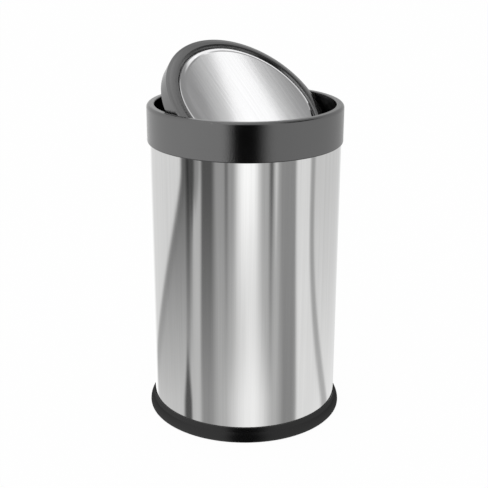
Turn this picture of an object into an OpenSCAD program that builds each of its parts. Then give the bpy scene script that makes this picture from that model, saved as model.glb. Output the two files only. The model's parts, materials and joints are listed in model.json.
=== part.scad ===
// Countertop trash can: a steel drum on a plastic foot ring, a lift-off collar in which
// a round lid swings, and a pail with a wire bail inside.
// Millimetres, +Z up. The origin is on the counter at the middle of the foot ring. The
// lid's pivot line runs along X, and the lid is drawn swung open, its +Y edge raised.

/* [Drum] */
// Outer diameter of the steel drum
body_d = 140; // [120:1:180]
// Height of the steel drum, from its bottom flange to the top of its rolled rim
body_h = 219; // [180:1:320]
// Thickness of the steel sheet
sheet_t = 0.6; // [0.4:0.1:1]
// Thickness of the rolled bead at the drum's top rim
curl_d = 2.2; // [1.6:0.1:3]
// Width of the inward flange at the drum's bottom
flange_w = 6; // [4:0.5:10]

/* [Foot ring] */
// Height of the foot ring
ring_h = 10.9; // [8:0.1:20]
// How far the foot ring stands out past the drum at its widest
ring_out = 3.8; // [2:0.1:7]
// Thickness of the foot ring's top lip
ring_lip_t = 0.7; // [0.4:0.1:1.5]
// Radius of the foot ring's rounded outer face, in section
ring_round = 9; // [7:0.5:14]
// Radius of the foot ring's bottom edge
ring_bottom_round = 1.6; // [1:0.1:2]
// Thickness of the foot ring's floor, which the drum stands on
ring_floor_t = 2.2; // [1.8:0.1:4]
// Width of the foot ring's floor, inward from the drum
ring_floor_w = 12; // [11:0.5:20]
// Diameter of an anti-slip pad
pad_d = 10; // [6:0.5:11]
// Thickness of an anti-slip pad
pad_t = 2; // [1.5:0.1:2.4]
// How far a pad stands out under the foot ring
pad_stand = 0.8; // [0.4:0.1:1.2]
// Number of anti-slip pads
pad_count = 4; // [3:1:8]

/* [Floor pan] */
// Height of the floor pan's upturned rim
pan_rim_h = 6; // [3:0.5:12]
// How far the middle of the floor pan is pressed up
pan_rise = 3.4; // [2:0.2:6]
// Width of the floor pan's low outer channel
pan_channel_w = 11; // [8:0.5:16]
// Width of the slope between that channel and the raised middle
pan_slope = 2; // [1:0.5:4]

/* [Collar] */
// Height of the collar's outer face
collar_h = 27.4; // [24:0.1:50]
// How far the collar comes down over the drum
collar_over = 11.3; // [6:0.1:14]
// Wall thickness of the collar
collar_t = 1.1; // [0.8:0.1:2]
// Thickness of the collar's top web
collar_web_t = 1.8; // [1:0.1:2]
// Radius of the collar's outer top edge
collar_round = 2.4; // [1.5:0.1:3]
// Radius of the collar's inner lip and bottom edge
collar_edge = 0.7; // [0.3:0.1:0.9]
// Gap between the collar and the drum
collar_clear = 0.3; // [0.2:0.05:0.6]
// How far the collar's lip covers the sleeve's top edge
lip_over = 0.2; // [0:0.1:0.5]

/* [Sleeve] */
// Wall thickness of the collar sleeve
sleeve_t = 1.5; // [1.2:0.1:2]
// Gap between the sleeve and the drum's rolled rim
spigot_clear = 0.3; // [0.25:0.05:0.6]
// Thickness of the sleeve's flange over the drum's rim
sleeve_flange_t = 1.6; // [1:0.1:2.4]
// Gap between the flange and the drum's rim, and between the pail and the floor pan
seat_gap = 0.3; // [0.25:0.05:0.5]
// Depth of the sleeve below its stop bosses
sleeve_foot = 2; // [1:0.5:8]

/* [Lid] */
// Gap between the lid's skirt and the sleeve
lid_gap = 2; // [1.6:0.1:4]
// Angle at which the lid is drawn, from level
open_angle = 39.5; // [0:0.5:70]
// Largest swing of the lid, each way from level
swing = 75; // [60:1:78]
// Width of the lid frame's visible ring
frame_w = 9.1; // [8:0.1:16]
// Height of the skirt's top edge above the pivot line
skirt_up = 5.6; // [5:0.1:8]
// Depth of the skirt below the pivot line
skirt_down = 3.9; // [3.6:0.1:6]
// Thickness of the skirt
skirt_t = 1.6; // [1.2:0.1:2.5]
// Height of the frame's crown above the top edge of the skirt
crown_h = 3; // [2.4:0.1:5]
// Radius of the skirt's rounded top edge
shoulder = 1.2; // [0.8:0.1:1.5]
// Distance of the crown's crest from the frame's inner edge
crest_in = 2.3; // [1.5:0.1:4]
// Height of the frame's inner edge above the top edge of the skirt
inner_edge_up = 1.35; // [0.8:0.05:2]
// Thickness of the frame's ledge under the panel
ledge_t = 1.5; // [1:0.1:2]
// Width of the frame's ledge under the panel
ledge_w = 3.4; // [2:0.1:6]
// Depth of the ledge below the frame's inner edge
ledge_drop = 1; // [0.6:0.1:1.6]
// Gap between the panel's edge and the frame
panel_gap = 0.3; // [0.1:0.05:0.6]
// Width of the panel's rounded edge
bevel_w = 5; // [3:0.5:8]
// Height of the panel's rounded edge
bevel_h = 1.9; // [1:0.1:2.4]
// Thickness of the back plate
back_t = 1.5; // [1:0.1:2]
// Depth of the back plate inside the skirt
back_inset = 1; // [0.6:0.1:1.4]
// Gap between the back plate and the skirt
back_gap = 0.4; // [0.2:0.1:0.8]

/* [Pivots and stops] */
// Depth of the pivot line below the collar's top
pivot_drop = 6; // [5.9:0.1:10]
// Diameter of the pivot pins
pin_d = 4; // [3:0.1:5]
// How far a pivot pin reaches into the lid frame
pin_in = 11.8; // [8:0.2:16]
// How far a pivot pin reaches past the lid's skirt
pin_out = 5; // [4:0.1:5.4]
// Radial running clearance of a pin in its bush
pin_clear = 0.05; // [0.02:0.01:0.1]
// Wall thickness of a pivot bush
bush_t = 0.95; // [0.8:0.05:1]
// Diameter of a bush's flange
bush_flange_d = 8.8; // [8:0.1:10]
// End play between the lid and a bush's flange
end_play = 0.5; // [0.3:0.05:1]
// Gap between the pieces of a pivot and the inside of the collar
pivot_room = 0.4; // [0.3:0.1:0.6]
// Wall of the sleeve's boss around a bush
boss_t = 0.9; // [0.8:0.1:0.9]
// Wall of the lid frame's block past the end of a pin
pin_block_end = 2; // [1:0.5:4]
// Radial fit of pressed-in pieces in their holes
press_gap = 0.02; // [0.01:0.01:0.05]
// Width of the lid frame's block around a pin
pin_block_w = 10; // [8:0.5:14]
// Diameter of a stop stud
stop_d = 5; // [4:0.5:6]
// How far a stop stud reaches in under the lid's edge
stop_bite = 3.4; // [2:0.2:6]
// Gap between a stop stud and the lid at the end of the swing
stop_gap = 0.3; // [0.25:0.05:0.6]
// Wall of the sleeve's boss around a stop stud
stop_boss_t = 1.5; // [1:0.1:2.5]
// Length of the sleeve's boss around a stop stud
stop_boss_l = 3.5; // [2:0.5:4]

/* [Lid screws and counterweight] */
// Diameter of the screws' threads
screw_d = 2.4; // [2:0.1:3]
// Diameter of the screws' heads
head_d = 4.6; // [4:0.1:5.6]
// Height of the back plate screws' heads
head_h = 1.2; // [0.8:0.1:1.6]
// Length of a back plate screw under its head
back_screw_l = 7; // [5:0.5:7]
// Number of back plate screws
back_screw_count = 4; // [2:2:6]
// Distance of the back plate screws from the outside of the skirt
screw_inset = 6.7; // [5.5:0.1:8]
// Gap between a screw and the hole that it passes through
pass_gap = 0.2; // [0.1:0.05:0.4]
// Width of the slots of a screw's cross recess
recess_w = 0.7; // [0.5:0.1:1]
// Outer diameter of the screw bosses
screw_boss_d = 6; // [5:0.5:7]
// Length of the counterweight, along the pivot line
weight_l = 72; // [40:1:80]
// Width of the counterweight
weight_w = 24; // [12:1:28]
// Thickness of the counterweight
weight_t = 8; // [5:0.5:10]
// Corner radius of the counterweight
weight_round = 3; // [1:0.5:5]
// Distance of each counterweight screw from the middle
weight_screw_x = 24; // [12:1:26]
// Grip of a counterweight screw in the back plate's boss
weight_screw_grip = 3; // [2:0.5:4]

/* [Pail] */
// How far the pail's wall leans in, from its mouth to its bottom
pail_draft = 4; // [2:0.5:8]
// Width of the pail's rim outside its wall
pail_rim_w = 3.7; // [3:0.1:6]
// Wall thickness of the pail
pail_t = 1.5; // [1.2:0.1:2.5]
// Thickness of the pail's floor
pail_floor_t = 2; // [1.5:0.1:3]
// Radial gap between the pail's rim and the drum's rolled rim
pail_gap = 4.4; // [3:0.1:6]
// Height of the pail's downturned rim
pail_rim_h = 5; // [3:0.5:10]
// Space between the folded bail and the sleeve
bail_headroom = 4.5; // [3:0.5:20]
// Diameter of the bail's wire
wire_d = 3; // [2:0.1:3.6]
// Diameter of the bail's grip
grip_d = 5.2; // [4.6:0.1:6]
// Angle that the grip covers along the bail
grip_angle = 50; // [30:1:90]
// Gap under the grip when the bail is folded
grip_gap = 0.3; // [0.25:0.05:0.5]
// Radial gap between the folded grip and the drum's rolled rim
bail_gap = 3.5; // [3:0.1:4.5]
// Radial clearance of the wire in its ears
ear_clear = 0.08; // [0.04:0.01:0.1]
// Thickness of a pail ear
ear_t = 2.4; // [1.6:0.1:3]
// Outer radius of a pail ear
ear_r = 4; // [3:0.5:4.5]
// Gap between an ear and the bail's bend or its end bead
ear_gap = 0.4; // [0.3:0.1:0.8]
// Diameter of the bead at each end of the wire
bead_d = 4.4; // [4:0.2:5]
// Length of that bead
bead_l = 1.2; // [0.8:0.1:2]

/* [Hidden] */
$fn = 96;

// Overrun of a cutting solid past the face that it cuts
cut = 1;
// Points along an arc in a revolved section
arc_steps = 6;

// Drum and foot ring
body_r = body_d / 2;
shell_z = pad_stand + ring_floor_t;
body_top = shell_z + body_h;
ring_r = body_r + ring_out;
ring_in_r = body_r - ring_floor_w;
pad_circle_r = body_r - ring_floor_w / 2;
fit_gap = 0.05;
pan_z = shell_z + sheet_t;
pan_r = body_r - sheet_t - fit_gap;
pan_top = pan_z + pan_rise + sheet_t;

// Collar and sleeve
collar_z = body_top - collar_over;
collar_top = collar_z + collar_h;
collar_in_r = body_r + collar_clear;
collar_r = collar_in_r + collar_t;
web_z = collar_top - collar_web_t;
rim_in_r = body_r - curl_d;
sleeve_out_r = rim_in_r - spigot_clear;
sleeve_in_r = sleeve_out_r - sleeve_t;
mouth_r = sleeve_in_r - lip_over;
flange_z = body_top + seat_gap;
flange_r = collar_in_r - fit_gap;

// Lid, in its own frame: the origin is on the pivot line, and the lid is level
pivot_z = collar_top - pivot_drop;
lid_r = sleeve_in_r - lid_gap;
skirt_in_r = lid_r - skirt_t;
frame_in_r = lid_r - frame_w;
crest_h = skirt_up + crown_h;
inner_edge_h = skirt_up + inner_edge_up;
ledge_h = inner_edge_h - ledge_drop;
ledge_in_r = frame_in_r - ledge_w;
ledge_under_h = ledge_h - ledge_t;
panel_r = frame_in_r - panel_gap;
panel_edge_h = ledge_h + sheet_t;
panel_top_h = panel_edge_h + bevel_h;
back_h = back_inset - skirt_down;
back_top_h = back_h + back_t;
back_r = skirt_in_r - back_gap;
screw_circle_r = lid_r - screw_inset;
thread_r = screw_d / 2;
screw_hole_r = thread_r + press_gap;
screw_pass_r = thread_r + pass_gap;
weight_h = back_h - weight_t;
boss_roof = 0.8;
weight_boss_top = back_top_h + weight_screw_grip;

// Pivots and stops
pin_r = pin_d / 2;
bush_in_r = pin_r + pin_clear;
bush_r = bush_in_r + bush_t;
bush_x = lid_r + end_play;
bush_end_x = collar_in_r - pivot_room;
boss_r = bush_r + press_gap + boss_t;
boss_end_x = bush_end_x - 0.1;
stop_r = stop_d / 2;
stop_drop = (skirt_down + stop_r + stop_gap) / cos(swing);
stop_z = pivot_z - stop_drop;
stop_boss_r = stop_r + press_gap + stop_boss_t;
stop_tip_x = sqrt(lid_r * lid_r - pow(stop_drop * sin(swing), 2)) - stop_bite;
stop_boss_x = sleeve_in_r - stop_boss_l;
sleeve_z = stop_z - stop_boss_r - sleeve_foot;

// Pail and bail
wire_r = wire_d / 2;
grip_r = grip_d / 2;
pail_z = pan_top + seat_gap;
bail_z = sleeve_z - bail_headroom - grip_r;
pail_top = bail_z - grip_r - grip_gap;
pail_rim_r = rim_in_r - pail_gap;
pail_mouth_r = pail_rim_r - pail_rim_w;
pail_base_r = pail_mouth_r - pail_draft;
bail_r = rim_in_r - bail_gap - grip_r;
ear_y = bail_r - wire_r - ear_gap - ear_t;
wire_end_y = ear_y - ear_gap - bead_l;

// Points of an arc around [cx, cy], from angle a0 to a1
function arc(cx, cy, r, a0, a1) = [
    for (i = [0:arc_steps]) let (a = a0 + (a1 - a0) * i / arc_steps) [cx + r * cos(a), cy + r * sin(a)]
];

// Ring with a rectangular section
module ring(r_in, r_out, h) {
    difference() {
        cylinder(h = h, r = r_out);
        translate([0, 0, -cut]) cylinder(h = h + 2 * cut, r = r_in);
    }
}

// Round bar along +X that starts at x
module bar_x(x, l, r) {
    translate([x, 0, 0]) rotate([0, 90, 0]) cylinder(h = l, r = r);
}

// Round bar along +Y that starts at y
module bar_y(y, l, r) {
    translate([0, y, 0]) rotate([-90, 0, 0]) cylinder(h = l, r = r);
}

// The children at the left pivot side (-X) or the right one (+X), which mirror each other
module at_side(side) {
    if (side < 0) mirror([1, 0, 0]) children();
    else children();
}

// The children on both sides
module both_sides() {
    at_side(-1) children();
    at_side(1) children();
}

// The children swung with the lid about its pivot line
module swung() {
    translate([0, 0, pivot_z]) rotate([open_angle, 0, 0]) children();
}

// The children at each back plate screw
module at_back_screws() {
    for (i = [0:back_screw_count - 1])
        rotate([0, 0, 360 / back_screw_count * (i + 0.5)]) translate([screw_circle_r, 0, 0]) children();
}

// The children at each counterweight screw
module at_weight_screws() {
    both_sides() translate([weight_screw_x, 0, 0]) children();
}

// The children at each anti-slip pad
module at_pads() {
    for (i = [0:pad_count - 1])
        rotate([0, 0, 360 / pad_count * (i + 0.5)]) translate([pad_circle_r, 0, 0]) children();
}

// Foot ring: a flared outer face, a lip around the drum and a floor under it
module base_ring() {
    face_z = pad_stand + ring_bottom_round;
    section = concat(
        [[ring_in_r, pad_stand], [ring_r - ring_bottom_round, pad_stand]],
        arc(ring_r - ring_bottom_round, face_z, ring_bottom_round, -90, 0),
        arc(ring_r - ring_round, face_z, ring_round, 6, 42),
        [[body_r + ring_lip_t, pad_stand + ring_h], [body_r + fit_gap, pad_stand + ring_h],
         [body_r + fit_gap, shell_z], [ring_in_r, shell_z]]);
    color([0.13, 0.13, 0.14]) difference() {
        rotate_extrude() polygon(section);
        at_pads() translate([0, 0, pad_stand - cut])
            cylinder(h = pad_t - pad_stand + cut, r = pad_d / 2 + fit_gap);
    }
}

// Anti-slip pads in the foot ring's pockets
module base_pads() {
    color([0.3, 0.3, 0.3]) at_pads() cylinder(h = pad_t, r = pad_d / 2);
}

// Floor pan: an upturned rim, a low channel and a raised middle
module bottom_pan() {
    low_r = body_r - pan_channel_w;
    channel_r = low_r - pan_slope;
    color([0.7, 0.7, 0.72]) rotate_extrude() polygon([
        [0, pan_z + pan_rise], [channel_r, pan_z + pan_rise], [low_r, pan_z], [pan_r, pan_z],
        [pan_r, pan_z + pan_rim_h], [pan_r - sheet_t, pan_z + pan_rim_h], [pan_r - sheet_t, pan_z + sheet_t],
        [low_r + sheet_t / 2, pan_z + sheet_t], [channel_r + sheet_t / 2, pan_top], [0, pan_top]]);
}

// Drum: a sheet wall, an inward flange at the bottom and a rolled rim at the top
module body_shell() {
    color([0.78, 0.79, 0.8]) union() {
        translate([0, 0, shell_z]) ring(body_r - sheet_t, body_r, body_h - curl_d / 2);
        translate([0, 0, shell_z]) ring(body_r - flange_w, body_r, sheet_t);
        translate([0, 0, body_top - curl_d / 2])
            rotate_extrude() translate([body_r - curl_d / 2, 0]) circle(d = curl_d, $fn = 32);
    }
}

// Collar: the visible band around the drum's top, with a rounded top edge and an inner lip
module collar_shell() {
    section = concat(
        [[collar_in_r, collar_z]],
        arc(collar_r - collar_edge, collar_z + collar_edge, collar_edge, -90, 0),
        arc(collar_r - collar_round, collar_top - collar_round, collar_round, 0, 90),
        arc(mouth_r + collar_edge, collar_top - collar_edge, collar_edge, 90, 180),
        [[mouth_r, web_z], [collar_in_r, web_z]]);
    color([0.4, 0.4, 0.41]) rotate_extrude() polygon(section);
}

// Sleeve: the collar's inner wall, which plugs into the drum and carries bushes and stops
module collar_sleeve() {
    color([0.06, 0.06, 0.06]) difference() {
        union() {
            translate([0, 0, sleeve_z]) ring(sleeve_in_r, sleeve_out_r, web_z - sleeve_z);
            translate([0, 0, flange_z]) ring(sleeve_out_r - sleeve_t / 2, flange_r, sleeve_flange_t);
            both_sides() {
                difference() {
                    translate([0, 0, pivot_z]) bar_x(sleeve_in_r, boss_end_x - sleeve_in_r, boss_r);
                    translate([0, 0, sleeve_z]) cylinder(h = web_z - sleeve_z, r = sleeve_in_r);
                }
                intersection() {
                    translate([0, 0, stop_z]) bar_x(stop_boss_x, sleeve_t + stop_boss_l, stop_boss_r);
                    translate([0, 0, sleeve_z])
                        cylinder(h = web_z - sleeve_z, r = sleeve_out_r - sleeve_t / 2);
                }
            }
        }
        both_sides() {
            translate([0, 0, pivot_z]) bar_x(lid_r, body_r - lid_r, bush_r + press_gap);
            translate([0, 0, stop_z]) bar_x(stop_boss_x - cut, body_r - stop_boss_x, stop_r + press_gap);
        }
    }
}

// Flanged bush: a pin turns in it, and its flange keeps the lid in the middle
module pivot_bush(side) {
    flange_t = sleeve_in_r - seat_gap - bush_x;
    color([0.85, 0.84, 0.8]) at_side(side) translate([0, 0, pivot_z]) difference() {
        union() {
            bar_x(bush_x, flange_t, bush_flange_d / 2);
            bar_x(bush_x, bush_end_x - bush_x, bush_r);
        }
        bar_x(bush_x - cut, bush_end_x - bush_x + 2 * cut, bush_in_r);
    }
}

// Stop stud: the lid's lower edge meets it at the end of the swing, in both directions
module lid_stop(side) {
    color([0.2, 0.2, 0.2]) at_side(side) translate([0, 0, stop_z])
        bar_x(stop_tip_x, sleeve_out_r - stop_tip_x, stop_r);
}

// Lid frame: a crowned ring with a skirt, a ledge for the panel, pin blocks and bosses
module lid_frame() {
    shoulder_r = lid_r - shoulder;
    shoulder_turn = 70;
    crest_r = frame_in_r + crest_in;
    section = concat(
        [[skirt_in_r, -skirt_down], [lid_r, -skirt_down]],
        arc(shoulder_r, skirt_up, shoulder, 0, shoulder_turn),
        [for (i = [1:arc_steps]) let (t = i / arc_steps)
            [shoulder_r - (shoulder_r - crest_r) * t,
             skirt_up + shoulder + (crown_h - shoulder) * sin(90 * t)]],
        [[frame_in_r + crest_in / 3, (crest_h * 3 + inner_edge_h) / 4], [frame_in_r, inner_edge_h],
         [frame_in_r, ledge_h], [ledge_in_r, ledge_h], [ledge_in_r, ledge_under_h],
         [skirt_in_r, ledge_under_h]]);
    color([0.36, 0.36, 0.37]) swung() difference() {
        union() {
            rotate_extrude() polygon(section);
            both_sides() intersection() {
                translate([lid_r - pin_in - pin_block_end, -pin_block_w / 2, -skirt_down])
                    cube([pin_in, pin_block_w, ledge_under_h + skirt_down]);
                translate([0, 0, -skirt_down])
                    cylinder(h = ledge_under_h + skirt_down, r = skirt_in_r + skirt_t / 2);
            }
            at_back_screws() translate([0, 0, back_top_h])
                cylinder(h = ledge_under_h - back_top_h, d = screw_boss_d);
        }
        both_sides() bar_x(lid_r - pin_in, pin_in + cut, pin_r + press_gap);
        at_back_screws() translate([0, 0, back_top_h - cut])
            cylinder(h = back_screw_l - back_t + cut + pass_gap, r = screw_hole_r);
    }
}

// Lid panel: a flat steel disc whose edge rounds down into the frame
module lid_panel() {
    flat_r = panel_r - bevel_w;
    outer = [for (i = [0:arc_steps]) let (a = 90 * i / arc_steps)
        [flat_r + bevel_w * cos(a), panel_edge_h + bevel_h * sin(a)]];
    inner = [for (i = [arc_steps:-1:0]) let (a = 90 * i / arc_steps)
        [flat_r + (bevel_w - sheet_t) * cos(a), ledge_h + bevel_h * sin(a)]];
    color([0.82, 0.83, 0.84]) swung() rotate_extrude() polygon(concat(
        [[panel_r, ledge_h]], outer, [[0, panel_top_h], [0, panel_top_h - sheet_t]], inner));
}

// Back plate: closes the lid underneath, with bosses for the counterweight's screws
module lid_back() {
    notch_x = lid_r - pin_in - pin_block_end - back_gap;
    notch_w = pin_block_w + 2 * back_gap;
    color([0.1, 0.1, 0.1]) swung() difference() {
        union() {
            translate([0, 0, back_h]) cylinder(h = back_t, r = back_r);
            at_weight_screws() translate([0, 0, back_h])
                cylinder(h = weight_boss_top - back_h, d = screw_boss_d);
        }
        both_sides() translate([notch_x, -notch_w / 2, back_h - cut])
            cube([lid_r, notch_w, back_t + 2 * cut]);
        at_back_screws() translate([0, 0, back_h - cut]) cylinder(h = back_t + 2 * cut, r = screw_pass_r);
        at_weight_screws() translate([0, 0, back_h - cut])
            cylinder(h = weight_boss_top - back_h - boss_roof + cut, r = screw_hole_r);
    }
}

// Pan head screw that points up from the origin, with a cross recess in its head
module pan_screw(l) {
    difference() {
        union() {
            cylinder(h = l, r = thread_r);
            translate([0, 0, -head_h]) cylinder(h = head_h, d = head_d);
        }
        for (a = [0, 90])
            rotate([0, 0, a]) translate([-head_d * 0.3, -recess_w / 2, -head_h - cut])
                cube([head_d * 0.6, recess_w, head_h / 2 + cut]);
    }
}

// Flat head screw that points up, with the face of its head at the origin
module flat_screw(l) {
    cone_h = head_d / 2 - thread_r;
    difference() {
        union() {
            cylinder(h = l, r = thread_r);
            rotate_extrude() polygon([[0, 0], [head_d / 2, 0], [thread_r, cone_h], [0, cone_h]]);
        }
        for (a = [0, 90])
            rotate([0, 0, a]) translate([-head_d * 0.25, -recess_w / 2, -cut])
                cube([head_d * 0.5, recess_w, recess_w + cut]);
    }
}

// Screws that hold the back plate to the frame
module back_screws() {
    color([0.6, 0.6, 0.62]) swung() at_back_screws() translate([0, 0, back_h]) pan_screw(back_screw_l);
}

// Counterweight: a steel bar under the back plate, with countersunk holes
module lid_weight() {
    sink_r = head_d / 2 + pass_gap;
    color([0.45, 0.46, 0.48]) swung() difference() {
        union() {
            translate([-weight_l / 2, weight_round - weight_w / 2, weight_h])
                cube([weight_l, weight_w - 2 * weight_round, weight_t]);
            translate([weight_round - weight_l / 2, -weight_w / 2, weight_h])
                cube([weight_l - 2 * weight_round, weight_w, weight_t]);
            for (x = [-1, 1], y = [-1, 1])
                translate([x * (weight_l / 2 - weight_round), y * (weight_w / 2 - weight_round), weight_h])
                    cylinder(h = weight_t, r = weight_round);
        }
        at_weight_screws() translate([0, 0, weight_h - cut])
            cylinder(h = weight_t + 2 * cut, r = screw_pass_r);
        at_weight_screws() translate([0, 0, weight_h]) rotate_extrude() polygon([
            [0, -cut], [sink_r, -cut], [sink_r, 0], [screw_pass_r, sink_r - screw_pass_r],
            [0, sink_r - screw_pass_r]]);
    }
}

// Screws that hold the counterweight to the back plate
module weight_screws() {
    color([0.6, 0.6, 0.62]) swung() at_weight_screws() translate([0, 0, weight_h])
        flat_screw(weight_t + weight_boss_top - back_h - boss_roof - pass_gap);
}

// Pivot pin: pressed into the lid frame, running in a bush
module pivot_pin(side) {
    color([0.65, 0.65, 0.67]) at_side(side) swung() bar_x(lid_r - pin_in, pin_in + pin_out, pin_r);
}

// Pail: a tapered bucket with a downturned rim and two ears for the bail
module inner_pail() {
    rim_t = pail_t;
    foot_round = 1;
    lip_round = 0.5;
    color([0.16, 0.16, 0.17]) union() {
        rotate_extrude() polygon([
            [0, pail_z], [pail_base_r - foot_round, pail_z], [pail_base_r, pail_z + foot_round],
            [pail_mouth_r, pail_top - rim_t], [pail_rim_r - rim_t, pail_top - rim_t],
            [pail_rim_r - rim_t, pail_top - pail_rim_h], [pail_rim_r, pail_top - pail_rim_h],
            [pail_rim_r, pail_top - lip_round], [pail_rim_r - lip_round, pail_top],
            [pail_mouth_r - pail_t, pail_top],
            [pail_base_r - pail_t, pail_z + pail_floor_t], [0, pail_z + pail_floor_t]]);
        for (s = [0, 180]) rotate([0, 0, s]) difference() {
            union() {
                translate([-ear_r, ear_y, pail_top - rim_t])
                    cube([2 * ear_r, ear_t, bail_z - pail_top + rim_t]);
                translate([0, 0, bail_z]) bar_y(ear_y, ear_t, ear_r);
            }
            translate([0, 0, bail_z]) bar_y(ear_y - cut, ear_t + 2 * cut, wire_r + ear_clear);
        }
    }
}

// Bail: half a hoop of wire, its ends turned in through the ears and beaded
module pail_bail() {
    color([0.72, 0.72, 0.74]) translate([0, 0, bail_z]) union() {
        rotate([0, 0, -90]) rotate_extrude(angle = 180) translate([bail_r, 0]) circle(r = wire_r, $fn = 32);
        for (s = [0, 180]) rotate([0, 0, s]) {
            translate([0, bail_r, 0]) sphere(r = wire_r, $fn = 32);
            bar_y(wire_end_y, bail_r - wire_end_y, wire_r);
            bar_y(wire_end_y, bead_l, bead_d / 2);
        }
    }
}

// Grip: a plastic tube moulded around the middle of the bail
module bail_grip() {
    color([0.14, 0.14, 0.15]) translate([0, 0, bail_z]) rotate([0, 0, -grip_angle / 2])
        rotate_extrude(angle = grip_angle) translate([bail_r, 0]) difference() {
            circle(r = grip_r, $fn = 48);
            circle(r = wire_r + press_gap, $fn = 32);
        }
}

base_ring();
base_pads();
bottom_pan();
body_shell();
collar_shell();
collar_sleeve();
pivot_bush(-1);  // pivot_bush_left
pivot_bush(1);  // pivot_bush_right
lid_stop(-1);  // lid_stop_left
lid_stop(1);  // lid_stop_right
lid_frame();
lid_panel();
lid_back();
back_screws();
lid_weight();
weight_screws();
pivot_pin(-1);  // pivot_pin_left
pivot_pin(1);  // pivot_pin_right
inner_pail();
pail_bail();
bail_grip();
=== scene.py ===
"""Looks of the countertop trash can with swing lid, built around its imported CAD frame."""

import json
import math

import bmesh
import bpy
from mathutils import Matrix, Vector

bl_info = {
    "name": "Swing lid trash can",
    "version": (1, 0, 0),
    "blender": (4, 5, 0),
    "location": "View3D > Sidebar > Trash can",
    "description": "Finishes the steel drum, foot ring, collar, swing lid and pail, and sets the studio",
    "category": "Object",
}

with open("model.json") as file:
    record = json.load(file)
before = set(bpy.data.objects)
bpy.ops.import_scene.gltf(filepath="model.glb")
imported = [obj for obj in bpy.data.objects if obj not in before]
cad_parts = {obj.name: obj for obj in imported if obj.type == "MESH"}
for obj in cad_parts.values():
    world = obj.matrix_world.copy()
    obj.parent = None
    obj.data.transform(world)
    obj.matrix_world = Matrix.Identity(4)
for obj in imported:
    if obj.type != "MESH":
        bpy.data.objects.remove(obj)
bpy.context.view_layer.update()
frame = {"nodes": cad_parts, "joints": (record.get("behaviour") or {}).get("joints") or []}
NODES = frame["nodes"]
LID_JOINT = next(j for j in frame["joints"] if j["name"] == "lid_swing")
PIVOT = Vector(LID_JOINT["pos_m"])
# How far open the lid stands in the frame
LID_TILT = math.radians(39.5)


# ---------------------------------------------------------------- shader maths


class Value:
    """What a node gives. Arithmetic on a number adds Math nodes."""

    def __init__(self, graph, socket):
        self.graph = graph
        self.socket = socket

    def __add__(self, other):
        return self.graph.math("ADD", self, other)

    def __radd__(self, other):
        return self.graph.math("ADD", other, self)

    def __sub__(self, other):
        return self.graph.math("SUBTRACT", self, other)

    def __rsub__(self, other):
        return self.graph.math("SUBTRACT", other, self)

    def __mul__(self, other):
        return self.graph.math("MULTIPLY", self, other)

    def __rmul__(self, other):
        return self.graph.math("MULTIPLY", other, self)

    def __truediv__(self, other):
        return self.graph.math("DIVIDE", self, other)

    def __rtruediv__(self, other):
        return self.graph.math("DIVIDE", other, self)

    def __pow__(self, other):
        return self.graph.math("POWER", self, other)

    def __rpow__(self, other):
        return self.graph.math("POWER", other, self)

    def __abs__(self):
        return self.graph.math("ABSOLUTE", self)

    def most(self, other):
        return self.graph.math("MAXIMUM", self, other)

    def least(self, other):
        return self.graph.math("MINIMUM", self, other)

    def step(self, low, high):
        """0 up to low, 1 from high and smooth between them. low may be the larger one."""
        settings = {"interpolation_type": "SMOOTHSTEP"}
        sockets = {"Value": self, "From Min": low, "From Max": high}
        return self.graph.add("ShaderNodeMapRange", settings, sockets)

    def toward(self, other, share):
        """This value at share 0, the other at share 1."""
        return self + (other - self) * share

    def labelled(self, text):
        """The same value, with a label on its node."""
        self.socket.node.label = text
        return self


class Graph:
    """A node tree that is built from expressions."""

    def __init__(self, tree):
        self.tree = tree
        tree.nodes.clear()

    def add(self, kind, settings=None, sockets=None, out=0):
        """Adds any node: its settings first, then the values or links of its sockets."""
        node = self.tree.nodes.new(kind)
        for key, value in (settings or {}).items():
            setattr(node, key, value)
        for key, value in (sockets or {}).items():
            self.join(value, node.inputs[key])
        return Value(self, node.outputs[out]) if len(node.outputs) else None

    def join(self, value, socket):
        if isinstance(value, Value):
            self.tree.links.new(value.socket, socket)
        else:
            socket.default_value = value

    def math(self, operation, *values):
        return self.add("ShaderNodeMath", {"operation": operation}, dict(enumerate(values)))

    def outputs(self, value, *keys):
        """Outputs of the node that gives the value."""
        return [Value(self, value.socket.node.outputs[key]) for key in keys]

    def places(self):
        """The object's own coordinates, in metres in the row frame."""
        return self.add("ShaderNodeTexCoord", out="Object")

    def split(self, vector):
        return self.outputs(self.add("ShaderNodeSeparateXYZ", None, {0: vector}), 0, 1, 2)

    def scaled(self, vector, scale):
        settings = {"operation": "MULTIPLY"}
        return self.add("ShaderNodeVectorMath", settings, {0: vector, 1: scale})

    def turned(self, vector, centre, axis, angle):
        settings = {"rotation_type": "AXIS_ANGLE"}
        sockets = {"Vector": vector, "Center": centre, "Axis": axis, "Angle": angle}
        return self.add("ShaderNodeVectorRotate", settings, sockets)

    def noise(self, vector, scale=1.0, detail=2.0, rough=0.5):
        sockets = {"Vector": vector, "Scale": scale, "Detail": detail, "Roughness": rough}
        return self.add("ShaderNodeTexNoise", None, sockets)

    def blend(self, share, low, high):
        """A colour between two colours, by share."""
        # The Mix node's colour sockets are its inputs 6 and 7, and its colour output is 2
        return self.add("ShaderNodeMix", {"data_type": "RGBA"}, {0: share, 6: low, 7: high}, out=2)


def between(pair, share):
    """The pair's first number at share 0, its second at share 1."""
    return share * (pair[1] - pair[0]) + pair[0]


# ---------------------------------------------------------------- materials

# Distances are in metres, and scales of noise are per metre.
# The darkest and the lightest tone of a finish, as factors of its colour
STEEL_TONES = (0.93, 1.04)
METAL_TONES = (0.86, 1.08)
PLASTIC_TONES = (0.88, 1.14)

# Brushed steel: the wide streaks' share of the grain, and the slow clouds' share of the tone
STREAK_SHARE = 0.6
CLOUD_SHARE = 0.2
CLOUD_SCALE = 14.0
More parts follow.
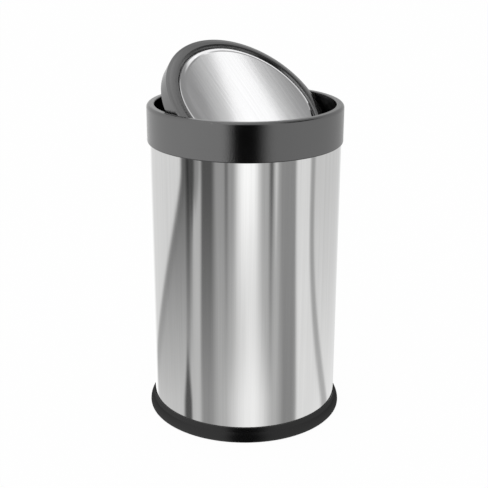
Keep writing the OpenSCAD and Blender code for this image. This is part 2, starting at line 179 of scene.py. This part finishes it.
# How much of its roughness the grain and the clouds change
GRAIN_GLOSS = 0.5
CLOUD_GLOSS = 0.3
# A ground weld fades in over this much of y at the back, and is duller, darker and deeper
WELD_BACK = 0.01
WELD_TONE = 0.8
WELD_ROUGH = 0.12
WELD_DEPTH = 0.6

# Plated or ground metal: its specks, their depth, and the handling marks
SPECK_SCALE = 900.0
SPECK_DEPTH = 0.00003
MARK_SCALE = 60.0
MARK_GLOSS = 0.2
SPECK_GLOSS = 0.1

# Moulded plastic: the flow of its gloss, and rub marks that run round it
FLOW_SCALE = (20.0, 20.0, 45.0)
RUB_SCALE = (60.0, 60.0, 420.0)
FLOW_GLOSS = 0.1
PORE_GLOSS = 0.06
RUB_GLOSS = 0.04

# The collar and the lid frame shine more than bare plastic does
LACQUER_IOR = 1.8

PLATED = (0.6, 0.6, 0.62)


def tones(colour, factors):
    """The colour times each factor, as colours with alpha."""
    return [tuple(min(1.0, c * factor) for c in colour) + (1.0,) for factor in factors]


def make_material(name, paint, **fixed):
    """A Principled material. paint gets the graph and returns the sockets that vary, with
    "bump" as (height, distance in metres). fixed holds the sockets that are uniform."""
    material = bpy.data.materials.new(name)
    material.use_nodes = True
    graph = Graph(material.node_tree)
    varied = paint(graph)
    height, distance = varied.pop("bump")
    sockets = {"Height": height, "Distance": distance, "Strength": 1.0}
    varied["Normal"] = graph.add("ShaderNodeBump", None, sockets)
    shader = graph.add("ShaderNodeBsdfPrincipled", None, {**fixed, **varied})
    graph.add("ShaderNodeOutputMaterial", None, {"Surface": shader})
    return material


def dress(material, *nodes):
    """Gives CAD nodes their material. Their meshes stay as packed."""
    for name in nodes:
        slots = NODES[name].material_slots
        if not slots:
            NODES[name].data.materials.append(material)
        for slot in slots:
            slot.material = material


def steel(name, colour, coarse, fine, rough, relief=0.00004, tilt=None, seam=0.0):
    """Brushed steel. coarse and fine scale the row frame's axes for streaks of two widths,
    per metre, relief is the streaks' depth, tilt turns the grain with the lid, and seam is
    half the width of a ground weld at the back."""

    def paint(g):
        places = g.places()
        if tilt is not None:
            places = g.turned(places, PIVOT, (1.0, 0.0, 0.0), -tilt)
        streaks = g.noise(g.scaled(places, coarse), detail=3.0, rough=0.6)
        grain = g.noise(g.scaled(places, fine), rough=0.6)
        cloud = g.noise(places, CLOUD_SCALE)
        both = streaks * STREAK_SHARE + grain * (1.0 - STREAK_SHARE)
        tone = (both * (1.0 - CLOUD_SHARE) + cloud * CLOUD_SHARE).step(0.25, 0.75)
        gloss = (grain - 0.5) * rough * GRAIN_GLOSS + (cloud - 0.5) * rough * CLOUD_GLOSS + rough
        if seam:
            x, y, _ = g.split(places)
            weld = abs(x).step(seam, seam * 0.5) * y.step(0.0, WELD_BACK)
            tone = tone * (1.0 - weld * WELD_TONE)
            gloss = gloss + weld * WELD_ROUGH
            both = both - weld * WELD_DEPTH
        return {
            "Base Color": g.blend(tone, *tones(colour, STEEL_TONES)),
            "Roughness": gloss,
            "bump": (both, relief),
        }

    return make_material(name, paint, Metallic=1.0)


def plain_metal(name, colour, rough):
    """Plated or ground metal with fine specks and faint handling marks."""

    def paint(g):
        places = g.places()
        specks = g.noise(places, SPECK_SCALE, detail=3.0)
        marks = g.noise(places, MARK_SCALE, detail=4.0, rough=0.6)
        return {
            "Base Color": g.blend(marks.step(0.3, 0.7), *tones(colour, METAL_TONES)),
            "Roughness": (marks - 0.5) * MARK_GLOSS + (specks - 0.5) * SPECK_GLOSS + rough,
            "bump": (specks, SPECK_DEPTH),
        }

    return make_material(name, paint, Metallic=1.0)


def plastic(name, colour, rough, texture=0.00006, grain=1600.0, **fixed):
    """Moulded plastic or rubber: a fine spark-eroded surface, slow gloss changes and faint rub
    marks. texture is the surface's depth and grain its scale."""

    def paint(g):
        places = g.places()
        pores = g.noise(places, grain, rough=0.6)
        flow = g.noise(g.scaled(places, FLOW_SCALE), detail=3.0)
        rubs = g.noise(g.scaled(places, RUB_SCALE), detail=4.0, rough=0.65).step(0.6, 0.8)
        gloss = (flow - 0.5) * FLOW_GLOSS + (pores - 0.5) * PORE_GLOSS + rubs * RUB_GLOSS + rough
        return {
            "Base Color": g.blend(flow.step(0.3, 0.7), *tones(colour, PLASTIC_TONES)),
            "Roughness": gloss,
            "bump": (pores, texture),
        }

    return make_material(name, paint, **fixed)


# ---------------------------------------------------------------- settings


def float_prop(name, description, default, **kind):
    return bpy.props.FloatProperty(name=name, description=description, default=default, **kind)


def colour_prop(name, description, default):
    kind = {"subtype": "COLOR", "size": 3, "min": 0.0, "max": 1.0}
    return bpy.props.FloatVectorProperty(name=name, description=description, default=default, **kind)


def factor_prop(name, description, default, high=1.0):
    return float_prop(name, description, default, subtype="FACTOR", min=0.0, max=high)


def angle_prop(name, description, default):
    return float_prop(name, description, math.radians(default), subtype="ANGLE", unit="ROTATION")


class FinishSettings(bpy.types.PropertyGroup):
    """Colours and gloss of the bin's finishes."""

    drum_colour: colour_prop("Drum", "Colour of the drum's steel", (0.77, 0.77, 0.765))
    drum_rough: factor_prop("Drum roughness", "Roughness of the drum's grain", 0.07)
    panel_colour: colour_prop("Lid panel", "Colour of the lid panel's steel", (0.78, 0.78, 0.785))
    panel_rough: factor_prop("Panel roughness", "Roughness of the panel's grain", 0.05)
    collar_colour: colour_prop("Collar", "Colour of the collar", (0.004, 0.004, 0.0041))
    frame_colour: colour_prop("Lid frame", "Colour of the lid frame", (0.022, 0.022, 0.0223))
    collar_rough: factor_prop("Collar roughness", "Roughness of the collar and the lid frame", 0.11)
    foot_colour: colour_prop("Foot ring", "Colour of the foot ring", (0.004, 0.004, 0.0042))
    foot_rough: factor_prop("Foot roughness", "Roughness of the foot ring", 0.22)
    sleeve_colour: colour_prop("Sleeve", "Colour of the collar's inside wall", (0.004, 0.004, 0.004))
    pail_colour: colour_prop("Pail", "Colour of the pail", (0.022, 0.022, 0.024))


class StudioSettings(bpy.types.PropertyGroup):
    """Camera and light."""

    azimuth: angle_prop("Azimuth", "The camera's angle round the bin", -41.6)
    elevation: angle_prop("Elevation", "The camera's angle above the counter", 19.14)
    roll: angle_prop("Roll", "The camera's turn about its own line of sight", 0.195)
    distance: float_prop(
        "Distance",
        "The camera's distance from the point that it looks at",
        0.776,
        subtype="DISTANCE",
        unit="LENGTH",
        precision=4,
    )
    lens: float_prop("Lens", "Focal length on a 36 mm wide sensor", 75.6, subtype="DISTANCE_CAMERA")
    room: factor_prop("Room light", "Level of the light from all round", 0.85, 4.0)
    floor_glow: factor_prop("Floor glow", "Share of the floor that is plain white to the camera", 0.97)


# ---------------------------------------------------------------- operators


class TRASHCAN_OT_drum(bpy.types.Operator):
    """Finish the steel drum and its pressed floor"""

    bl_idname = "trashcan.drum"
    bl_label = "Drum"

    def execute(self, context):
        s = context.scene.bin_finish
        drum = steel(
            "drum_steel",
            s.drum_colour,
            coarse=(330.0, 330.0, 5.0),
            fine=(2310.0, 2310.0, 15.0),
            rough=s.drum_rough,
            relief=0.000006,
            seam=0.0009,
        )
        dress(drum, "body_shell")
        pan = steel(
            "pan_steel",
            PLATED,
            coarse=(40.0, 900.0, 900.0),
            fine=(90.0, 3000.0, 3000.0),
            rough=0.3,
        )
        dress(pan, "bottom_pan")
        return {"FINISHED"}


class TRASHCAN_OT_foot(bpy.types.Operator):
    """Finish the foot ring and its anti-slip pads"""

    bl_idname = "trashcan.foot"
    bl_label = "Foot ring"

    def execute(self, context):
        s = context.scene.bin_finish
        ring = plastic("foot_plastic", s.foot_colour, s.foot_rough, texture=0.00002)
        dress(ring, "base_ring")
        pads = plastic("pad_rubber", (0.05, 0.05, 0.05), rough=0.75, texture=0.0002, grain=900.0)
        dress(pads, "base_pads")
        return {"FINISHED"}


class TRASHCAN_OT_collar(bpy.types.Operator):
    """Finish the lift-off collar, its sleeve, the bushes and the stops"""

    bl_idname = "trashcan.collar"
    bl_label = "Collar"

    def execute(self, context):
        s = context.scene.bin_finish
        collar = plastic("collar_plastic", s.collar_colour, s.collar_rough, IOR=LACQUER_IOR)
        dress(collar, "collar_shell")
        sleeve = plastic("sleeve_plastic", s.sleeve_colour, rough=0.3, texture=0.00003)
        dress(sleeve, "collar_sleeve")
        bush = plastic("bush_plastic", (0.7, 0.68, 0.62), rough=0.45)
        dress(bush, "pivot_bush_left", "pivot_bush_right")
        stop = plastic("stop_rubber", (0.03, 0.03, 0.03), rough=0.7, texture=0.0001)
        dress(stop, "lid_stop_left", "lid_stop_right")
        return {"FINISHED"}


class TRASHCAN_OT_lid(bpy.types.Operator):
    """Finish the swing lid: frame, panel, back plate, counterweight, screws and pins"""

    bl_idname = "trashcan.lid"
    bl_label = "Swing lid"

    def execute(self, context):
        s = context.scene.bin_finish
        ring = plastic("frame_plastic", s.frame_colour, s.collar_rough, IOR=LACQUER_IOR)
        dress(ring, "lid_frame")
        panel = steel(
            "panel_steel",
            s.panel_colour,
            coarse=(420.0, 9.0, 420.0),
            fine=(2600.0, 30.0, 2600.0),
            rough=s.panel_rough,
            relief=0.000004,
            tilt=LID_TILT,
        )
        dress(panel, "lid_panel")
        back = plastic("back_plastic", (0.015, 0.015, 0.015), rough=0.5, texture=0.0001)
        dress(back, "lid_back")
        weight = steel(
            "weight_steel",
            (0.35, 0.35, 0.37),
            coarse=(60.0, 900.0, 900.0),
            fine=(200.0, 4000.0, 4000.0),
            rough=0.45,
        )
        dress(weight, "lid_weight")
        screws = plain_metal("screw_steel", PLATED, rough=0.3)
        dress(screws, "back_screws", "weight_screws")
        pins = plain_metal("pin_steel", (0.55, 0.55, 0.57), rough=0.2)
        dress(pins, "pivot_pin_left", "pivot_pin_right")
        return {"FINISHED"}


class TRASHCAN_OT_pail(bpy.types.Operator):
    """Finish the lift-out pail, its bail and the grip"""

    bl_idname = "trashcan.pail"
    bl_label = "Pail"

    def execute(self, context):
        s = context.scene.bin_finish
        dress(plastic("pail_plastic", s.pail_colour, rough=0.5, texture=0.0001), "inner_pail")
        dress(plain_metal("wire_steel", PLATED, rough=0.25), "pail_bail")
        dress(plastic("grip_plastic", (0.02, 0.02, 0.02), rough=0.4), "bail_grip")
        return {"FINISHED"}


# ---------------------------------------------------------------- studio

# Where the camera looks, and its sensor and clipping
TARGET = Vector((-0.00047, 0.00042, 0.12945))
SENSOR_WIDTH = 36.0
NEAR_CLIP, FAR_CLIP = 0.01, 100.0

FLOOR_HALF = 40.0
FIBRE_SCALE = 90.0
PAPER_TONES = ((0.9, 0.9, 0.9, 1.0), (0.94, 0.94, 0.94, 1.0))
WHITE = (1.0, 1.0, 1.0, 1.0)

# Below, bearings are counted from the camera's side, positive to the camera's right, and heights
# from the horizon, both in degrees. An edge is a soft one, as two angles: what it bounds isn't
# there yet at the first, and is full at the second.

# The lamp: its bearing, its distance and height in metres, its width and its level
KEY_BEARING = -35.0
KEY_DISTANCE = 1.1
KEY_HEIGHT = 1.35
KEY_SIZE = 0.7
KEY_LEVEL = 1.6
# The height above the counter that it points at
KEY_AIM = 0.15

# The cards that the steel mirrors. They stand below the horizon all round, where the drum sees
# them. Each has two values, as seen at the drum's top and at its foot: for its bearing, half its
# width and the width of its soft edge, and for its level. Where half the width is negative, the
# card has narrowed to nothing. A later card hides an earlier one.
CARDS = (
    ("right shade", (122, 122), (34, 34), (8, 8), (0.7, 0.92)),
    ("left shade", (-52, -94), (28.5, 81), (8, 14), (0.17, 0.68)),
    ("left shade's edge", (-76.5, -163), (4, 9), (7, 16), (0.14, 0.58)),
    ("left flag", (-46, -43), (13, 14), (10, 12), (0.1, 0.34)),
    ("left dark line", (-71, -75), (3, 3), (5, 5), (0.04, 0.5)),
    ("left foot wedge", (-75.5, -75.5), (-18, 6.5), (6, 6), (0.1, 0.1)),
    ("left streak", (-59, -62.5), (6, 5.5), (4, 5), (0.54, 0.62)),
    ("left top shade", (-61, -61), (6, -60), (6, 6), (0.3, 0.3)),
    ("left top wedge", (-66, -66), (4, -20), (5, 5), (0.08, 0.08)),
    ("left fill", (-22, -22), (15, 15), (7, 16), (0.36, 0.53)),
    ("left thin line", (-22, -22), (2, 1), (3, 8), (0.18, 0.5)),
    ("right fill", (38.5, 38.5), (25.6, 28), (6, 10), (0.47, 0.54)),
    ("right flag", (52.5, 57), (10.8, 11.8), (6, 14), (0.31, 0.3)),
    ("right thin line", (31, 32), (2.4, 1), (4, 10), (0.14, 0.46)),
    ("right thin gleam", (37, 38), (1.8, -5), (3, 3), (0.7, 0.7)),
    ("front glow", (4, 4), (12, 17), (15, 44), (0.4, 0.8)),
    ("front panel", (3.5, 4), (12, 13), (15, 20), (1.24, 0.5)),
    ("front low panel", (7, 7), (-7, 17), (20, 28), (0.9, 1.08)),
    ("right window", (75, 86), (12, 16), (6, 6), (0.86, 0.9)),
    ("right far line", (87.5, 126), (3.6, 9), (5, 10), (0.42, 0.52)),
    ("back reflector", (-168, -168), (16, 20), (12, 12), (1.1, 1.15)),
)
# The height at which the drum's top and its foot see the cards
CARD_TOP, CARD_FOOT = -14.7, -27.7
# A card goes from its top values to its foot values by the share of the way down, to a power:
# 1 is evenly, and more is later. Some cards have their own power.
CARD_BEND = 1.3
CARD_BENDS = {"right far line": 3.0}
# The level where no card stands
SURROUND = 0.82
# Between these heights the cards give way to the ceiling
HORIZON = (-10.0, 8.0)

# The ceiling's level, and what is added lower down: the edge in height and the added level
CEILING = 0.31
CEILING_RISES = (((75.0, 45.0), 0.04), ((44.0, 26.0), 0.26))
# Its bright parts: the edges in bearing at both ends, the edge at the top, and the level
CEILING_PARTS = (
    ("side light", (-165.0, -140.0), (80.0, 60.0), (74.0, 64.0), 0.8),
    ("back light", (136.0, 147.0), (180.0, 166.0), (64.0, 56.0), 1.15),
)
# The bright strip over the lid, by its middle point: half its width there, how much it rises and
# narrows with each degree of bearing, its ends, by degrees from the middle, its edge and level
STRIP_BEARING, STRIP_HEIGHT = 128.6, 49.6
STRIP_HALF = 1.05
STRIP_RISE, STRIP_TAPER = 0.24, 0.08
STRIP_ENDS = (60.0, 20.0)
STRIP_EDGE = (0.2, -0.2)
STRIP_LEVEL = 1.28
# The glow round it: its edge, by degrees beyond the strip, its lower edge, and its level
GLOW_EDGE = (1.8, -0.1)
GLOW_FOOT = (40.0, 44.0)
GLOW_LEVEL = 0.38
# Faint streaks in the glow: degrees above the strip's middle, half width, change of level
GLOW_STREAKS = ((2.05, 0.16, 0.08), (2.6, 0.2, -0.05), (3.1, 0.16, 0.06))

# The wall of light that the plastic mirrors. Behind the bin it is weaker, up to a height.
WALL_LEVEL = 1.43
WALL_BACK_EDGE = (60.0, 165.0)
WALL_BACK_TOP = (72.0, 40.0)
WALL_BACK_LOSS = 0.75
# It is dimmer towards the counter
WALL_LOW_EDGE = (-31.0, -17.0)
WALL_LOW_SHARE = 0.22
# Its gap on the camera's side: the edges at both ends and the edge at the top
GAP_LEFT, GAP_RIGHT = (-24.5, -11.0), (33.5, 12.0)
GAP_TOP = (70.0, 40.0)
# It is brighter on the left
LEFT_EDGE = (20.0, -20.0)
LEFT_GAIN = 0.28
# A flag high on the right: its middle, its edges, and the share of light that it takes
FLAG_BEARING = 92.0
FLAG_SIDES = (32.0, 20.0)
FLAG_FOOT, FLAG_TOP = (32.0, 40.0), (74.0, 66.0)
FLAG_SHARE = 0.9
# The foot ring's part of the wall: its level behind the bin, what is added in front, and where,
# and the dark zenith's edge
FOOT_BACK_LEVEL = 0.08
FOOT_FRONT_RISE = 0.56
FOOT_BACK_EDGE = (160.0, 60.0)
FOOT_TOP = (75.0, 45.0)

METALS = (
    "body_shell",
    "bottom_pan",
    "lid_panel",
    "lid_weight",
    "back_screws",
    "weight_screws",
    "pivot_pin_left",
    "pivot_pin_right",
    "pail_bail",
)
FOOT = ("base_ring", "base_pads")
# The sleeve mirrors no ball's light, and the outermost ball hides the room from its mirror
PLASTICS = tuple(name for name in NODES if name not in (*METALS, *FOOT, "collar_sleeve"))
# The balls of light stand one in the other: their radii in metres
STEEL_BALL, FOOT_BALL, PLASTIC_BALL = 28.0, 29.0, 30.0


class TRASHCAN_OT_studio(bpy.types.Operator):
    """Set the camera, the white floor, the room light, the lamp and the light that is mirrored"""

    bl_idname = "trashcan.studio"
    bl_label = "Studio"

    def execute(self, context):
        scene = context.scene
        s = scene.bin_studio
        self.set_camera(scene, s)
        self.set_room(scene, s)
        self.set_floor(scene, s)
        self.set_lamp(scene, s)
        self.surround(scene, s, "steel_surround", STEEL_BALL, self.steel_light, METALS)
        self.surround(scene, s, "foot_surround", FOOT_BALL, self.foot_light, FOOT)
        plastic_light = self.plastic_light
        self.surround(scene, s, "plastic_surround", PLASTIC_BALL, plastic_light, PLASTICS, thin=False)
        scene.view_settings.view_transform = "Standard"
        return {"FINISHED"}

    def directions(self, s):
        """The camera's right, up and back directions before its roll."""
        a, e = s.azimuth, s.elevation
        right = Vector((math.cos(a), math.sin(a), 0.0))
        back = Vector((math.sin(a) * math.cos(e), -math.cos(a) * math.cos(e), math.sin(e)))
        return right, back.cross(right), back

    def set_camera(self, scene, s):
        right, up, back = self.directions(s)
        turn_right = right * math.cos(s.roll) + up * math.sin(s.roll)
        turn_up = up * math.cos(s.roll) - right * math.sin(s.roll)
        data = bpy.data.cameras.new("camera")
        data.lens = s.lens
        data.sensor_width = SENSOR_WIDTH
        data.clip_start, data.clip_end = NEAR_CLIP, FAR_CLIP
        camera = bpy.data.objects.new("camera", data)
        scene.collection.objects.link(camera)
        matrix = camera.matrix_world.copy()
        for i, axis in enumerate((turn_right, turn_up, back)):
            matrix.col[i] = (*axis, 0.0)
        matrix.col[3] = (*(TARGET + back * s.distance), 1.0)
        camera.matrix_world = matrix
        scene.camera = camera

    def set_room(self, scene, s):
        """Even light from all round, which the camera, mirrors and glass see as white."""
        world = bpy.data.worlds.new("room")
        scene.world = world
        world.use_nodes = True
        world.cycles.sampling_method = "NONE"
        g = Graph(world.node_tree)
        rays = ("Is Camera Ray", "Is Glossy Ray", "Is Transmission Ray")
        camera, glossy, through = g.outputs(g.add("ShaderNodeLightPath"), *rays)
        seen = camera.most(glossy).most(through)
        level = (1.0 - s.room) * seen + s.room
        sky = g.add("ShaderNodeBackground", None, {"Color": level, "Strength": 1.0})
        g.add("ShaderNodeOutputWorld", None, {"Surface": sky})

    def set_floor(self, scene, s):
        """Pale paper that is nearly plain white to the camera and keeps a faint shadow."""
        mesh = bpy.data.meshes.new("floor")
        work = bmesh.new()
        bmesh.ops.create_grid(work, x_segments=8, y_segments=8, size=FLOOR_HALF)
        work.to_mesh(mesh)
        work.free()
        floor = bpy.data.objects.new("floor", mesh)
        scene.collection.objects.link(floor)
        floor.visible_glossy = False
        floor.visible_shadow = False
        material = bpy.data.materials.new("floor_paper")
        material.use_nodes = True
        g = Graph(material.node_tree)
        fibre = g.noise(g.places(), FIBRE_SCALE, detail=4.0)
        lit = g.add("ShaderNodeBsdfDiffuse", None, {"Color": g.blend(fibre, *PAPER_TONES)})
        glow = g.add("ShaderNodeEmission", None, {"Color": WHITE, "Strength": 1.0})
        share = g.add("ShaderNodeLightPath", out="Is Camera Ray") * s.floor_glow
        paper = g.add("ShaderNodeMixShader", None, {0: share, 1: lit, 2: glow})
        g.add("ShaderNodeOutputMaterial", None, {"Surface": paper})
        mesh.materials.append(material)

    def set_lamp(self, scene, s):
        """One soft lamp for all but the metals. Neither the camera nor a mirror sees it."""
        right, _, back = self.directions(s)
        front = Vector((back.x, back.y, 0.0)).normalized()
        a = math.radians(KEY_BEARING)
        out = (front * math.cos(a) + right * math.sin(a)) * KEY_DISTANCE
        place = out + Vector((0.0, 0.0, KEY_HEIGHT))
        data = bpy.data.lights.new("key", "AREA")
        data.shape = "SQUARE"
        data.size = KEY_SIZE
        data.energy = KEY_LEVEL * math.pi * KEY_SIZE * KEY_SIZE
        lamp = bpy.data.objects.new("key", data)
        scene.collection.objects.link(lamp)
        lamp.location = place
        lamp.rotation_mode = "QUATERNION"
        aim = place - Vector((0.0, 0.0, KEY_AIM))
        lamp.rotation_quaternion = aim.to_track_quat("Z", "Y")
        lamp.visible_camera = False
        lamp.visible_glossy = False
        others = [NODES[name] for name in NODES if name not in METALS]
        self.link_light(lamp, [*others, scene.objects["floor"]])

    def surround(self, scene, s, name, radius, paint, receivers, thin=True):
        """A ball of light round the bin that only the receivers mirror. paint gets the bearing
        and the height and gives the level. Rays of other pieces pass a thin ball."""
        mesh = bpy.data.meshes.new(name)
        work = bmesh.new()
        bmesh.ops.create_icosphere(work, subdivisions=5, radius=radius)
        work.to_mesh(mesh)
        work.free()
        ball = bpy.data.objects.new(name, mesh)
        scene.collection.objects.link(ball)
        for ray in ("camera", "diffuse", "transmission", "volume_scatter", "shadow"):
            setattr(ball, "visible_" + ray, False)
        material = bpy.data.materials.new(name)
        material.use_nodes = True
        material.cycles.emission_sampling = "NONE"
        g = Graph(material.node_tree)
        outward = g.add("ShaderNodeVectorMath", {"operation": "NORMALIZE"}, {0: g.places()})
        x, y, z = g.split(outward)
        to_right = x * math.cos(s.azimuth) + y * math.sin(s.azimuth)
        to_camera = x * math.sin(s.azimuth) - y * math.cos(s.azimuth)
        bearing = g.math("ARCTAN2", to_right, to_camera) * math.degrees(1.0)
        height = g.math("ARCSINE", z) * math.degrees(1.0)
        level = paint(bearing, height)
        shader = g.add("ShaderNodeEmission", None, {"Color": level, "Strength": 1.0})
        if thin:
            clear = g.add("ShaderNodeBsdfTransparent", None, {"Color": WHITE})
            shader = g.add("ShaderNodeAddShader", None, {0: shader, 1: clear})
        g.add("ShaderNodeOutputMaterial", None, {"Surface": shader})
        mesh.materials.append(material)
        self.link_light(ball, [NODES[node] for node in receivers])

    def link_light(self, light, receivers):
        """Lets a lamp or a ball of light shine on the receivers alone."""
        group = bpy.data.collections.new(light.name + "_receivers")
        for receiver in receivers:
            group.objects.link(receiver)
        light.light_linking.receiver_collection = group

    def steel_light(self, bearing, height):
        """The cards below the horizon and the ceiling above it."""
        cards = self.card_light(bearing, height)
        return cards.toward(self.ceiling_light(bearing, height), height.step(*HORIZON))

    def card_light(self, bearing, height):
        drop = ((height - CARD_TOP) / (CARD_FOOT - CARD_TOP)).most(0.0).least(1.0)
        level = SURROUND
        for name, middle, half, soft, card_level in CARDS:
            down = drop ** CARD_BENDS.get(name, CARD_BEND)
            off = abs(bearing - between(middle, down))
            reach, edge = between(half, down), between(soft, down) * 0.5
            share = off.step(reach + edge, reach - edge).labelled(name)
            level = (between(card_level, down) - level) * share + level
        return level

    def ceiling_light(self, bearing, height):
        """A soft ceiling with two bright parts, and the strip that the lid panel mirrors."""
        level = CEILING
        for edge, rise in CEILING_RISES:
            level = height.step(*edge) * rise + level
        for name, left, right, top, part_level in CEILING_PARTS:
            share = bearing.step(*left) * bearing.step(*right) * height.step(*top)
            level = level.toward(part_level, share.labelled(name))
        turn = bearing - STRIP_BEARING
        across = height - turn * STRIP_RISE - STRIP_HEIGHT
        beyond = abs(across) + turn * STRIP_TAPER - STRIP_HALF
        near = abs(turn).step(*STRIP_ENDS)
        glow = beyond.step(*GLOW_EDGE) * GLOW_LEVEL
        for middle, half, change in GLOW_STREAKS:
            glow = glow + abs(across - middle).step(half * 2.0, half * 0.5) * change
        level = level + glow * near * height.step(*GLOW_FOOT)
        return level.toward(STRIP_LEVEL, beyond.step(*STRIP_EDGE) * near)

    def plastic_light(self, bearing, height):
        """The wall of light, less its gap, the flag and its dim lower end."""
        back = abs(bearing).step(*WALL_BACK_EDGE) * height.step(*WALL_BACK_TOP)
        wall = (back * -WALL_BACK_LOSS + WALL_LEVEL) * self.left_gain(bearing)
        gap = self.front_gap(bearing) * height.step(*GAP_TOP)
        flag = abs(bearing - FLAG_BEARING).step(*FLAG_SIDES)
        flag = flag * height.step(*FLAG_FOOT) * height.step(*FLAG_TOP)
        low = height.step(*WALL_LOW_EDGE) * (1.0 - WALL_LOW_SHARE) + WALL_LOW_SHARE
        return wall * (1.0 - gap) * (1.0 - flag * FLAG_SHARE) * low

    def foot_light(self, bearing, height):
        """The wall of light as the foot ring mirrors it, under a dark zenith."""
        wall = abs(bearing).step(*FOOT_BACK_EDGE) * FOOT_FRONT_RISE + FOOT_BACK_LEVEL
        gap = self.front_gap(bearing)
        return (1.0 - gap) * wall * self.left_gain(bearing) * height.step(*FOOT_TOP)

    def left_gain(self, bearing):
        return bearing.step(*LEFT_EDGE) * LEFT_GAIN + 1.0

    def front_gap(self, bearing):
        """1 in the gap on the camera's side."""
        return bearing.step(*GAP_LEFT) * bearing.step(*GAP_RIGHT)


class TRASHCAN_PT_panel(bpy.types.Panel):
    """Settings of the trash can, and its operators"""

    bl_label = "Trash can"
    bl_idname = "TRASHCAN_PT_panel"
    bl_space_type = "VIEW_3D"
    bl_region_type = "UI"
    bl_category = "Trash can"

    def draw(self, context):
        layout = self.layout
        for group in (context.scene.bin_finish, context.scene.bin_studio):
            box = layout.box()
            for name in group.bl_rna.properties.keys():
                if name not in ("rna_type", "name"):
                    box.prop(group, name)
        for operator in OPERATORS:
            layout.operator(operator.bl_idname)


OPERATORS = (
    TRASHCAN_OT_drum,
    TRASHCAN_OT_foot,
    TRASHCAN_OT_collar,
    TRASHCAN_OT_lid,
    TRASHCAN_OT_pail,
    TRASHCAN_OT_studio,
)
CLASSES = (FinishSettings, StudioSettings, *OPERATORS, TRASHCAN_PT_panel)


def register():
    for cls in CLASSES:
        bpy.utils.register_class(cls)
    bpy.types.Scene.bin_finish = bpy.props.PointerProperty(type=FinishSettings)
    bpy.types.Scene.bin_studio = bpy.props.PointerProperty(type=StudioSettings)


def unregister():
    del bpy.types.Scene.bin_studio
    del bpy.types.Scene.bin_finish
    for cls in reversed(CLASSES):
        bpy.utils.unregister_class(cls)


def main():
    register()
    for operator in OPERATORS:
        family, name = operator.bl_idname.split(".")
        getattr(getattr(bpy.ops, family), name)()


if __name__ == "__main__":
    main()
